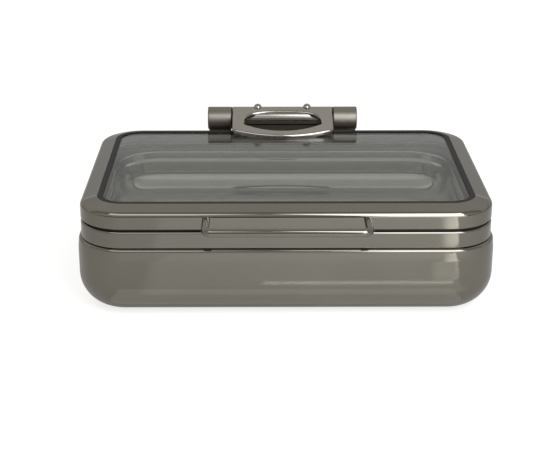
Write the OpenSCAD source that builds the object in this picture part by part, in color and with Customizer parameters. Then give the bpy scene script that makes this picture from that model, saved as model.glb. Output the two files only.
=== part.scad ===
// Full-size chafing dish: water pan with upper band, lift-out food pan,
// framed glass lid with a bow handle, damped barrel hinge at the back.
// Millimetres. +Z is up, the handle side faces -Y, +X is the viewer's right.
// The origin is the middle of the underside that stands on the counter.

/* [Body] */
// Width of the water pan across its side walls
body_w = 572; // [520:1:640]
// Depth of the water pan, front to back
body_d = 390; // [350:1:440]
// Height of the pressed wall of the water pan
body_h = 99; // [85:1:130]
// Radius of the water pan's corners, seen from above
body_corner = 66; // [60:1:80]
// Radius between the wall and the floor of the water pan
body_fillet = 48; // [20:1:55]
// Gauge of the pressed sheet steel
gauge = 1.5; // [1:0.1:2]
// Thickness of the base disc under the water pan
base_t = 3; // [2:0.5:6]

/* [Rim] */
// How far the upper band is set in from the water pan's wall
band_inset = 5; // [3:0.5:7]
// Height of the upper band
band_h = 25; // [22:1:36]
// Height of the silicone seal that the lid closes on
seal_h = 3.2; // [2:0.1:5]

/* [Food pan] */
// Depth of the food pan from its flange to its floor
pan_depth = 56; // [40:1:80]
// Width of the food pan's flange
pan_flange = 12.5; // [10:0.5:15]
// Gauge of the food pan's sheet
pan_gauge = 1.2; // [0.8:0.1:1.5]
// Height of the straight collar above the stacking step
pan_collar = 11; // [6:1:16]

/* [Lid] */
// Height of the lid's upright skirt
skirt_h = 22.5; // [20:0.5:30]
// Width of the sloping shoulder round the glass
shoulder_w = 23.4; // [21:0.2:26]
// Rise of the shoulder from the skirt to the glass
shoulder_rise = 6.3; // [5:0.1:8]
// Width of the black gasket that shows round the glass
gasket_w = 8; // [6.5:0.5:10]
// Thickness of the toughened glass
glass_t = 4; // [3:0.5:6]

/* [Handle] */
// Distance between the centres of the two handle posts
handle_len = 215; // [120:1:300]
// Diameter of the handle rod
handle_d = 11; // [8:0.5:13]
// Distance from the skirt to the middle of the handle bar
handle_reach = 44; // [30:1:60]
// Bend radius at the middle of the rod
handle_bend = 10; // [7:0.5:20]

/* [Hinge] */
// Diameter of the hinge barrel
barrel_d = 36; // [30:0.5:40]
// Length of each fixed barrel end with its cap
end_len = 37; // [30:1:60]
// Width of the cast plate and of its knuckle
plate_w = 158; // [130:1:190]
// Distance from the lid's back face to the hinge axis
axis_back = 12; // [10:0.5:18]
// Height of the hinge axis over the top edge of the skirt
axis_up = 16.5; // [16:0.5:22]
// Diameter of the hinge pin
pin_d = 10; // [8:0.5:11]
// Distance that the middle of the plate reaches in from the lid's back face
plate_reach = 61; // [50:1:66]
// Distance between the two domed screws
dome_pitch = 78; // [50:1:110]
// Diameter of the domed screw heads
dome_d = 12.5; // [9:0.5:15]
// Height of the domed screw heads
dome_h = 5.3; // [3.5:0.1:6]

/* [Hidden] */

// Finishes
steel = [0.46, 0.43, 0.39];
satin = [0.52, 0.50, 0.47];
black = [0.16, 0.16, 0.15];
clear = [0.75, 0.78, 0.76, 0.35];
alloy = [0.60, 0.60, 0.60];

// Clearances
fit = 0.05;
slack = 0.1;
run = 0.3;
fuse = 0.4;
over = 1;
round_fn = 64;

// Heights
pan_z = base_t;
shoulder_z = pan_z + body_h;
rim_z = shoulder_z + band_h;
lid_z = rim_z + seal_h + run;
edge_z = lid_z + skirt_h;
glass_edge_z = edge_z + shoulder_rise;

// Water pan
shoulder_r = gauge + 2.5;
pan_land = 16;
base_setback = 8;
base_margin = body_fillet + base_setback;
base_w = body_w - 2 * base_margin;
base_d = body_d - 2 * base_margin;
base_corner_drop = 25;
base_r = body_corner - base_corner_drop;
base_skin = base_t / 3;

// Upper band and lid share one plan outline
lid_w = body_w - 2 * band_inset;
lid_d = body_d - 2 * band_inset;
lid_r = body_corner - band_inset;
front_y = -lid_d / 2;
back_y = lid_d / 2;
band_edge_r = gauge + 1.5;
band_top = 9;
band_foot = 9;

// Food pan and the opening that it hangs in
side_margin = 21;
front_margin = 32.5;
food_w = body_w - 2 * side_margin;
food_d = body_d - 2 * front_margin;
food_r = 75;
open_gap = 5.5;
open_w = food_w - 2 * pan_flange + 2 * open_gap;
open_d = food_d - 2 * pan_flange + 2 * open_gap;
open_r = food_r - pan_flange + open_gap;
lip_h = 10;
food_step = 3;
food_taper = 4;
food_bend = 30;
food_fillet = min(food_bend, 0.72 * (pan_depth - pan_collar - food_step));
food_top = rim_z + pan_gauge;
food_floor = food_top - pan_depth - pan_gauge;

// Seal
seal_w = 5;
seal_in = band_edge_r + seal_w;

// Lid frame
slope = atan(shoulder_rise / shoulder_w);
edge_turn = 90 - slope;
edge_r = gauge + 3.5;
edge_c = [lid_r - edge_r, edge_z - edge_r * (1 - sin(slope)) / cos(slope)];
lid_hem = 9;

// Gasket, glass and retainer, measured outward from the corner centres
gasket_lip = 1.3;
gasket_in = lid_r - shoulder_w - gasket_w;
gasket_neck = lid_r - shoulder_w - gauge * sin(slope) - slack;
gasket_out = lid_r - shoulder_w + 4;
gasket_bite = 5;
glass_u = gasket_in + gasket_bite;
glass_top = glass_edge_z - gasket_lip;
glass_low = glass_top - glass_t;
gasket_low = glass_low - gasket_lip;
ret_in = gasket_in - 1;
ret_out = gasket_out + 9;
ret_w = ret_out - ret_in;
ret_low = gasket_low - gauge;
pad_u = gasket_out + 5.2;
pad_d = 8;
pad_bore = 3.3;
pad_bore_h = 2.6;
ret_head_d = 7;
ret_head_h = 2.2;
ret_corner_in = 20;
ret_pitch = 90;
ret_side_in = 57;
ret_far_x = lid_w / 2 - lid_r - ret_corner_in;
ret_near_x = ret_far_x - ret_pitch;
ret_side_y = lid_d / 2 - lid_r - ret_side_in;

// Handle
handle_z = edge_c[1] - handle_d / 2 - 0.4;
handle_hole = 5;
handle_screw_in = 14;
handle_head_d = 9;
handle_head_h = 3;

// Hinge
axis_y = back_y + axis_back;
axis_z = edge_z + axis_up;
barrel_r = barrel_d / 2;
knuckle_gap = 2;
washer_t = knuckle_gap - 0.4;
knuckle_x = plate_w / 2 + knuckle_gap;
cap_t = 2;
cap_plug = 4;
tube_len = end_len - cap_t;
tube_bore_r = barrel_r - 4.5;
damper_len = tube_len - cap_plug - 0.6;
pin_len = 2 * (knuckle_x + damper_len - 4);

// Cast plate
plate_front = back_y - plate_reach;
plate_t = 8;
plate_bow = 15;
nose_clear = 0.3;
nose_low = glass_top + nose_clear;
nose_h = 6.3;
nose_cut = 3.5;
nose_flat = 9;
plate_root = 6;
plate_root_z = axis_z + sqrt(pow(barrel_r, 2) - pow(plate_root, 2)) - fuse / 2;
plate_slope = (plate_root_z - nose_low - nose_h) / (axis_y - plate_root - plate_front - nose_cut);
bow_r = (pow(plate_w / 2, 2) + pow(plate_bow, 2)) / (2 * plate_bow);
win_side = 16;
win_bar = 9;
win_rise = 15;
win_square = 3.2;
win_half = plate_w / 2 - win_side;
win_front = plate_front + win_bar;
win_point = win_front + win_rise;
win_back = axis_y - plate_root * 2;
win_r = (pow(win_half, 2) + pow(win_rise, 2)) / (2 * win_rise);
foot_front = back_y - shoulder_w + 0.4;
foot_back = back_y - edge_r + edge_r * sin(slope);
foot_w = 16;
foot_x = plate_w / 2 - foot_w / 2;
foot_screw_in = 11.5;
foot_screw_y = back_y - foot_screw_in;
foot_screw_d = 4.8;
foot_thread = 8;
foot_bore = foot_thread + 1;
foot_head_d = 8;
foot_head_h = 2.4;
notch_room = 3;
dome_x = dome_pitch / 2;
dome_r = (pow(dome_d / 2, 2) + pow(dome_h, 2)) / (2 * dome_h);
dome_seat = barrel_r + 0.2;
dome_shank_d = 6;

// Rear bracket
plate_gap = 3.5;
bracket_t = 4;
bracket_y = back_y + plate_gap;
bracket_low = shoulder_z + 4;
bracket_top = rim_z - 3;
bracket_half = knuckle_x + tube_len;
bracket_mid_x = 30;
bracket_screw_x = [bracket_mid_x, knuckle_x + tube_len / 2];
bracket_screw_z = (bracket_low + bracket_top) / 2;
bolt_d = 4.8;
bolt_head_d = 9;
bolt_head_h = 3;
nut_w = 8;
nut_t = 4;
boss_d = 14;

function arc(c, r, a0, a1, n) =
    [for (i = [0:n]) c + r * [cos(a0 + (a1 - a0) * i / n), sin(a0 + (a1 - a0) * i / n)]];
function oval_back(a, b, square, n) = [for (i = [0:n]) let (t = 180 * i / n)
    [a * sign(cos(t)) * pow(abs(cos(t)), 2 / square), b * pow(abs(sin(t)), 2 / square)]];
function slope_z(y) = edge_z + (back_y - y) * tan(slope);
function plate_z(y) = nose_low + nose_h + (y - plate_front - nose_cut) * plate_slope;

// A profile carried round a rounded rectangle; x is measured outward from the corner centres
module sweep(w, d, r) {
    for (k = [0:3]) {
        a = k % 2 == 0 ? w : d;
        b = k % 2 == 0 ? d : w;
        rotate([0, 0, 90 * k])
            translate([a / 2 - r, b / 2 - r, 0]) {
                rotate_extrude(angle = 90, $fn = round_fn) children();
                rotate([90, 0, 0]) linear_extrude(height = b - 2 * r) children();
            }
    }
}

// A plate with rounded corners, from z up by h
module slab(w, d, r, z, h) {
    translate([0, 0, z]) {
        sweep(w, d, r) square([r, h]);
        translate([-w / 2 + r, -d / 2 + r, 0]) cube([w - 2 * r, d - 2 * r, h]);
    }
}

// A cylinder along X or Y, centred or starting at the origin
module bar_x(d, l) { rotate([0, 90, 0]) cylinder(d = d, h = l, center = true, $fn = round_fn); }
module bar_y(d, l) { rotate([-90, 0, 0]) cylinder(d = d, h = l, $fn = round_fn); }
module tube_x(d, bore, x, l) {
    translate([x, axis_y, axis_z]) rotate([0, 90, 0]) difference() {
        cylinder(d = d, h = l, $fn = round_fn);
        translate([0, 0, -over]) cylinder(d = bore, h = l + 2 * over, $fn = round_fn);
    }
}

module both_sides() {
    children();
    mirror([1, 0, 0]) children();
}

module at_retainer_screws() {
    for (sx = [-1, 1], sy = [-1, 1]) {
        for (x = [ret_near_x, ret_far_x])
            translate([sx * x, sy * (lid_d / 2 - lid_r + pad_u), 0]) children();
        translate([sx * (lid_w / 2 - lid_r + pad_u), sy * ret_side_y, 0]) children();
    }
}

module at_foot_screws() {
    for (sx = [-1, 1])
        translate([sx * foot_x, foot_screw_y, slope_z(foot_screw_y)]) rotate([-slope, 0, 0]) children();
}

module at_bracket_screws(y) {
    for (sx = [-1, 1], bx = bracket_screw_x) translate([sx * bx, y, bracket_screw_z]) children();
}

module at_handle_posts(y) {
    for (sx = [-1, 1]) translate([sx * handle_len / 2, y, handle_z]) children();
}

// Deep-drawn outer pan that holds the hot water
module water_pan() {
    color(steel) {
        sweep(body_w, body_d, body_corner)
            polygon(concat(
                [[0, pan_z]],
                arc([body_corner - body_fillet, pan_z + body_fillet], body_fillet, -90, 0, 10),
                arc([body_corner - shoulder_r, shoulder_z - shoulder_r], shoulder_r, 0, 90, 4),
                [[body_corner - pan_land, shoulder_z]],
                [[body_corner - pan_land, shoulder_z - gauge]],
                arc([body_corner - shoulder_r, shoulder_z - shoulder_r], shoulder_r - gauge, 90, 0, 4),
                arc([body_corner - body_fillet, pan_z + body_fillet], body_fillet - gauge, 0, -90, 10),
                [[0, pan_z + gauge]]));
        translate([-body_w / 2 + body_corner, -body_d / 2 + body_corner, pan_z])
            cube([body_w - 2 * body_corner, body_d - 2 * body_corner, gauge]);
    }
}

// Pressed upper band with the ledge that carries the food pan and the lid seal
module rim_frame() {
    color(steel) difference() {
        union() {
            sweep(lid_w, lid_d, lid_r)
                polygon(concat(
                    [[lid_r - band_foot, shoulder_z], [lid_r, shoulder_z]],
                    arc([lid_r - band_edge_r, rim_z - band_edge_r], band_edge_r, 0, 90, 4),
                    [[lid_r - band_top, rim_z], [lid_r - band_top, rim_z - gauge]],
                    arc([lid_r - band_edge_r, rim_z - band_edge_r], band_edge_r - gauge, 90, 0, 4),
                    [[lid_r - gauge, shoulder_z + gauge], [lid_r - band_foot, shoulder_z + gauge]]));
            difference() {
                slab(lid_w - 2 * band_top, lid_d - 2 * band_top, lid_r - band_top, rim_z - gauge, gauge);
                slab(open_w, open_d, open_r, rim_z - gauge - over, gauge + 2 * over);
            }
            sweep(open_w + 2 * gauge, open_d + 2 * gauge, open_r + gauge)
                translate([open_r, rim_z - lip_h]) square([gauge, lip_h]);
        }
        at_bracket_screws(back_y - gauge - over) bar_y(bolt_d + 2 * slack, gauge + 2 * over);
    }
}

// Heat-spreading core of the base and its magnetic skin
module base_core() {
    color(alloy) slab(base_w, base_d, base_r, base_skin, base_t - base_skin);
}

module base_cover() {
    color(satin) slab(base_w, base_d, base_r, 0, base_skin);
}

// Silicone ring on the ledge, under the hem of the lid
module lid_seal() {
    color(black) sweep(lid_w, lid_d, lid_r)
        translate([lid_r - seal_in, rim_z]) square([seal_w, seal_h]);
}

// Bracket behind the band, with an arm and a saddle under each fixed barrel end
module hinge_bracket() {
    color(satin) difference() {
        union() {
            translate([-bracket_half, bracket_y, bracket_low])
                cube([2 * bracket_half, bracket_t, bracket_top - bracket_low]);
            for (sx = [-1, 1])
                translate([sx * (knuckle_x + tube_len / 2) - tube_len / 2, bracket_y, bracket_low])
                    cube([tube_len, bracket_t, axis_z - bracket_low]);
            at_bracket_screws(back_y) bar_y(boss_d, plate_gap + bracket_t / 2);
        }
        translate([0, axis_y, axis_z]) bar_x(barrel_d, 2 * (bracket_half + over));
        at_bracket_screws(back_y - over)
            bar_y(bolt_d + 2 * slack, plate_gap + bracket_t + 2 * over);
    }
}

module bracket_screws() {
    color(satin) at_bracket_screws(bracket_y + bracket_t) {
        bar_y(bolt_head_d, bolt_head_h);
        mirror([0, 1, 0]) bar_y(bolt_d, bracket_t + plate_gap + gauge + nut_t + 1);
    }
}

module bracket_nuts() {
    color(satin) at_bracket_screws(back_y - gauge - nut_t) difference() {
        rotate([-90, 0, 0]) cylinder(d = nut_w / cos(30), h = nut_t, $fn = 6);
        translate([0, -over, 0]) bar_y(bolt_d + 2 * fit, nut_t + 2 * over);
    }
}

// Fixed barrel ends, their caps and the dampers inside them
module knuckle_tube() {
    tube_x(barrel_d, 2 * tube_bore_r, knuckle_x, tube_len);
}

module knuckle_right() { color(satin) knuckle_tube(); }
module knuckle_left() { color(satin) mirror([1, 0, 0]) knuckle_tube(); }

module knuckle_caps() {
    color(satin) both_sides() translate([knuckle_x + tube_len, axis_y, axis_z]) rotate([0, 90, 0]) {
        rotate_extrude($fn = round_fn)
            polygon([[0, 0], [barrel_r, 0], [barrel_r, cap_t / 2],
                [barrel_r - cap_t / 2, cap_t], [0, cap_t]]);
        translate([0, 0, -cap_plug]) cylinder(r = tube_bore_r - fit, h = cap_plug + fuse, $fn = round_fn);
    }
}

module damper_tube() {
    tube_x(2 * tube_bore_r - 2 * fit, pin_d + 2 * fit, knuckle_x, damper_len);
}

module damper_right() { color(black) damper_tube(); }
module damper_left() { color(black) mirror([1, 0, 0]) damper_tube(); }

module thrust_washers() {
    color(black) both_sides()
        tube_x(barrel_d - 1, pin_d + 2 * fit, plate_w / 2 + knuckle_gap - washer_t, washer_t);
}

// Lift-out food pan with a stacking step below its flange
module food_pan() {
    wall_u = food_r - pan_flange;
    step_z = rim_z - pan_collar;
    low_u = wall_u - food_step - food_taper;
    color(steel) {
        sweep(food_w, food_d, food_r)
            polygon(concat(
                [[0, food_floor]],
                arc([low_u - food_fillet, food_floor + food_fillet], food_fillet, -90, 0, 9),
                [[wall_u - food_step, step_z - food_step], [wall_u, step_z]],
                [[wall_u, rim_z], [food_r, rim_z], [food_r, food_top]],
                [[wall_u - pan_gauge, food_top], [wall_u - pan_gauge, step_z + pan_gauge / 2]],
                [[wall_u - food_step - pan_gauge, step_z - food_step + pan_gauge / 2]],
                arc([low_u - food_fillet, food_floor + food_fillet], food_fillet - pan_gauge, 0, -90, 9),
                [[0, food_floor + pan_gauge]]));
        translate([-food_w / 2 + food_r, -food_d / 2 + food_r, food_floor])
            cube([food_w - 2 * food_r, food_d - 2 * food_r, pan_gauge]);
    }
}

// Pressed lid frame: hemmed skirt, rounded edge and shoulder that rises to the glass
module lid_frame() {
    tip = [lid_r - shoulder_w, glass_edge_z];
    pad_h = edge_z + (lid_r - pad_u) * tan(slope) - gasket_low - gauge * 0.75;
    color(steel) difference() {
        union() {
            sweep(lid_w, lid_d, lid_r)
                polygon(concat(
                    [[lid_r - lid_hem, lid_z], [lid_r, lid_z]],
                    arc(edge_c, edge_r, 0, edge_turn, 6),
                    [tip, tip - gauge * [sin(slope), cos(slope)]],
                    arc(edge_c, edge_r - gauge, edge_turn, 0, 6),
                    [[lid_r - gauge, lid_z + gauge], [lid_r - lid_hem, lid_z + gauge]]));
            at_retainer_screws() translate([0, 0, gasket_low])
                cylinder(d = pad_d, h = pad_h, $fn = round_fn);
        }
        at_retainer_screws() translate([0, 0, gasket_low - over])
            cylinder(d = pad_bore, h = pad_bore_h + over, $fn = round_fn);
        at_foot_screws() translate([0, 0, -2 * gauge])
            cylinder(d = foot_screw_d + 2 * slack, h = 4 * gauge, $fn = round_fn);
        at_handle_posts(front_y - over) bar_y(handle_hole + 2 * slack, gauge + 2 * over);
    }
}

// Toughened glass and the black gasket that grips its edge
module glass_panel() {
    g = glass_u - slack;
    color(clear) slab(lid_w - 2 * lid_r + 2 * g, lid_d - 2 * lid_r + 2 * g, g, glass_low, glass_t);
}

module glass_gasket() {
    neck_z = edge_z + (lid_r - gasket_neck) * tan(slope) - gauge / cos(slope) - slack;
    out_z = edge_z + (lid_r - gasket_out) * tan(slope) - gauge / cos(slope) - slack;
    color(black) sweep(lid_w, lid_d, lid_r)
        polygon([[gasket_in, glass_edge_z], [gasket_neck, glass_edge_z], [gasket_neck, neck_z],
            [gasket_out, out_z], [gasket_out, gasket_low], [gasket_in, gasket_low],
            [gasket_in, glass_low], [glass_u, glass_low], [glass_u, glass_top], [gasket_in, glass_top]]);
}

// Flat strips under the glass edge, screwed up into the pads of the lid frame
module retainer_long(side) {
    difference() {
        translate([0, side * (lid_d / 2 - lid_r + ret_in + ret_w / 2), ret_low + gauge / 2])
            cube([lid_w - 2 * lid_r, ret_w, gauge], center = true);
        retainer_holes();
    }
}

module retainer_short(side) {
    difference() {
        translate([side * (lid_w / 2 - lid_r + ret_in + ret_w / 2), 0, ret_low + gauge / 2])
            cube([ret_w, lid_d - 2 * lid_r, gauge], center = true);
        retainer_holes();
    }
}

module retainer_holes() {
    at_retainer_screws() translate([0, 0, ret_low - over])
        cylinder(d = pad_bore + slack, h = gauge + 2 * over, $fn = round_fn);
}

module retainer_front() { color(steel) retainer_long(-1); }
module retainer_left() { color(steel) retainer_short(-1); }
module retainer_right() { color(steel) retainer_short(1); }

// The back strip is notched round the heads of the hinge plate's screws
module retainer_back() {
    notch = foot_head_d + 2 * notch_room;
    color(steel) difference() {
        retainer_long(1);
        for (sx = [-1, 1])
            translate([sx * foot_x - notch / 2, foot_screw_y - notch / 2, ret_low - over])
                cube([notch, notch * 2, gauge + 2 * over]);
    }
}

module retainer_screws() {
    color(satin) at_retainer_screws() translate([0, 0, ret_low]) {
        translate([0, 0, -ret_head_h]) cylinder(d = ret_head_d, h = ret_head_h, $fn = round_fn);
        cylinder(d = pad_bore - 2 * fit, h = gauge + pad_bore_h - 0.2, $fn = round_fn);
    }
}

// Bow handle of round rod, and the screws that hold it from inside the skirt
module lid_handle() {
    color(steel) difference() {
        union() {
            both_sides() {
                translate([handle_len / 2, front_y, handle_z])
                    mirror([0, 1, 0]) bar_y(handle_d, handle_reach - handle_bend);
                translate([handle_len / 2 - handle_bend, front_y - handle_reach + handle_bend, handle_z])
                    rotate([0, 0, -90]) rotate_extrude(angle = 90, $fn = round_fn)
                        translate([handle_bend, 0]) circle(d = handle_d, $fn = round_fn);
            }
            translate([0, front_y - handle_reach, handle_z]) bar_x(handle_d, handle_len - 2 * handle_bend);
        }
        at_handle_posts(front_y + over) mirror([0, 1, 0]) bar_y(handle_hole, handle_screw_in + over);
    }
}

module handle_screws() {
    color(satin) at_handle_posts(front_y + gauge) {
        bar_y(handle_head_d, handle_head_h);
        mirror([0, 1, 0]) bar_y(handle_hole - 2 * fit, gauge + handle_screw_in - 1);
    }
}

// Cast hinge plate: knuckle, sloping loop with a half-moon window, and two feet
module hinge_plate() {
    color(satin) difference() {
        union() {
            intersection() {
                difference() {
                    rotate([90, 0, 90]) linear_extrude(height = plate_w, center = true)
                        polygon([[plate_front, nose_low], [plate_front, nose_low + nose_h - nose_cut],
                            [plate_front + nose_cut, nose_low + nose_h],
                            [axis_y - plate_root, plate_root_z],
                            [axis_y - plate_root, plate_root_z - plate_t],
                            [plate_front + nose_flat, nose_low]]);
                    translate([0, 0, nose_low - over]) linear_extrude(barrel_d * 2) intersection() {
                        translate([0, win_point]) polygon(concat(
                            oval_back(win_half, win_back - win_point, win_square, 24),
                            [[-win_half, -win_rise - over], [win_half, -win_rise - over]]));
                        translate([0, win_front + win_r]) circle(r = win_r, $fn = 128);
                    }
                }
                translate([0, plate_front + bow_r, 0]) cylinder(r = bow_r, h = axis_z * 2, $fn = 160);
            }
            for (sx = [-1, 1])
                translate([sx * foot_x, 0, 0]) rotate([90, 0, 90])
                    linear_extrude(height = foot_w, center = true)
                        polygon([[foot_front, slope_z(foot_front)], [foot_back, slope_z(foot_back)],
                            [foot_back, plate_z(foot_back) - 3], [foot_front, plate_z(foot_front) - 3]]);
            translate([0, axis_y, axis_z]) bar_x(barrel_d, plate_w);
            for (sx = [-1, 1])
                translate([sx * dome_x, axis_y, axis_z + pin_d])
                    cylinder(d = dome_d, h = dome_seat - pin_d, $fn = round_fn);
        }
        translate([0, axis_y, axis_z]) bar_x(pin_d + 2 * fit, plate_w + 2 * over);
        for (sx = [-1, 1])
            translate([sx * dome_x, axis_y, axis_z])
                cylinder(d = dome_shank_d + 2 * fit, h = barrel_d, $fn = round_fn);
        at_foot_screws() translate([0, 0, -gauge])
            cylinder(d = foot_screw_d + 2 * fit, h = gauge + foot_bore, $fn = round_fn);
    }
}

module hinge_plate_screws() {
    color(satin) at_foot_screws() translate([0, 0, -gauge]) {
        translate([0, 0, -foot_head_h]) cylinder(d = foot_head_d, h = foot_head_h, $fn = round_fn);
        cylinder(d = foot_screw_d, h = gauge + foot_thread, $fn = round_fn);
    }
}

// Domed screws that lock the pin in the plate's knuckle
module lock_screws() {
    color(satin) for (sx = [-1, 1]) translate([sx * dome_x, axis_y, axis_z]) {
        translate([0, 0, dome_seat]) intersection() {
            translate([0, 0, dome_h - dome_r]) sphere(r = dome_r, $fn = round_fn);
            cylinder(d = dome_d * 2, h = dome_h * 2, $fn = round_fn);
        }
        translate([0, 0, pin_d / 2 + slack])
            cylinder(d = dome_shank_d, h = dome_seat - pin_d / 2 - slack + fuse, $fn = round_fn);
    }
}

module hinge_pin() {
    color(satin) translate([0, axis_y, axis_z]) bar_x(pin_d, pin_len);
}

water_pan();
rim_frame();
base_core();
base_cover();
lid_seal();
hinge_bracket();
bracket_screws();
bracket_nuts();
knuckle_left();
knuckle_right();
knuckle_caps();
damper_left();
damper_right();
thrust_washers();
food_pan();
lid_frame();
glass_panel();
glass_gasket();
retainer_front();
retainer_back();
retainer_left();
retainer_right();
retainer_screws();
lid_handle();
handle_screws();
hinge_plate();
hinge_plate_screws();
lock_screws();
hinge_pin();
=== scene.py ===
from math import asin, atan2, ceil, copysign, cos, pi, radians, sin, tan

import bmesh
import bpy
from mathutils import Matrix, Vector


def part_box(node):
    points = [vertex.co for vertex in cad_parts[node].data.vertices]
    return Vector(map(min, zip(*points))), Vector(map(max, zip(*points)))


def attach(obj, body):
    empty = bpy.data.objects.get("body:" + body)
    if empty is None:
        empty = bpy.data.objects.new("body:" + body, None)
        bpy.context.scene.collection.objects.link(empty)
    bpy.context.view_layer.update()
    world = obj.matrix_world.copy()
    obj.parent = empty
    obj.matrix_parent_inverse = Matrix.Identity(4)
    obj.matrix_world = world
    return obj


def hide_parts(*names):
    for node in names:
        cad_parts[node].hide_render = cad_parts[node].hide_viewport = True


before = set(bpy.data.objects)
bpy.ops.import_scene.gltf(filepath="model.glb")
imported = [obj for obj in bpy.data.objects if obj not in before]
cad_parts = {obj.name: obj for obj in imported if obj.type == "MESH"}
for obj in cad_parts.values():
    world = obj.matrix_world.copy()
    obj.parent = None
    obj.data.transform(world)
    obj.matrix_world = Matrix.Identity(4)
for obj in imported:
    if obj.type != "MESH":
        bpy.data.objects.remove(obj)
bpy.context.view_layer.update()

bl_info = {
    "name": "Chafing dish",
    "version": (1, 0, 0),
    "blender": (4, 5, 0),
    "location": "3D View > Sidebar > Chafing dish",
    "description": "Models a glass-lidded chafing dish with its pressed shells, bow handle and barrel hinge",
    "category": "Object",
}

MM = 0.001
BODY_LOW, BODY_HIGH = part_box("water_pan")
BAND_LOW, BAND_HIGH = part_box("rim_frame")
SEAL_LOW, SEAL_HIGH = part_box("lid_seal")
FOOD_LOW, FOOD_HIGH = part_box("food_pan")
LID_LOW, LID_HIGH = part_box("lid_frame")
GASKET_LOW, GASKET_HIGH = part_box("glass_gasket")
GLASS_LOW, GLASS_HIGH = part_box("glass_panel")
COVER_LOW, COVER_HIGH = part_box("base_cover")
ROD_LOW, ROD_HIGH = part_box("lid_handle")
PLATE_LOW, PLATE_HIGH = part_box("hinge_plate")
TUBE_LOW, TUBE_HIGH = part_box("knuckle_right")
CAPS_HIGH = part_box("knuckle_caps")[1]
DOME_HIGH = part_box("lock_screws")[1]
AXIS = Vector((0.0, (TUBE_LOW.y + TUBE_HIGH.y) / 2, (TUBE_LOW.z + TUBE_HIGH.z) / 2))
BARREL = (TUBE_HIGH.z - TUBE_LOW.z) / 2
MERGE = 0.002 * MM
SAME_LEVEL = 0.01 * MM
# how far a section starts inside the corner or fillet that it closes on
LAP = 4 * MM
PLATE_LAP = 12 * MM
# head diameter, head height, key width, shank diameter and reach of each kind of screw
STRIP_SCREW = (7 * MM, 2.2 * MM, 2.5 * MM, 3.2 * MM, 3.9 * MM)
HANDLE_SCREW = (9 * MM, 3 * MM, 4 * MM, 4.9 * MM, 14.5 * MM)
PLATE_SCREW = (8 * MM, 2.4 * MM, 3 * MM, 4.8 * MM, 9.5 * MM)
BRACKET_SCREW = (9 * MM, 3 * MM, 4 * MM, 4.8 * MM, 14 * MM)


def to_linear(code):
    """Turns an sRGB hex code into a linear colour."""
    parts = [int(code[i:i + 2], 16) / 255 for i in (1, 3, 5)]
    return tuple(c / 12.92 if c <= 0.04045 else ((c + 0.055) / 1.055) ** 2.4 for c in parts) + (1.0,)


def length(name, text, value):
    """A size in metres."""
    return bpy.props.FloatProperty(name=name, description=text, default=value, min=0.0, precision=5,
                                   subtype="DISTANCE", unit="LENGTH")


def colour(name, text, code):
    """A colour from its sRGB hex code."""
    return bpy.props.FloatVectorProperty(name=name, description=text, default=to_linear(code), size=4,
                                         min=0.0, max=1.0, subtype="COLOR")


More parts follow.
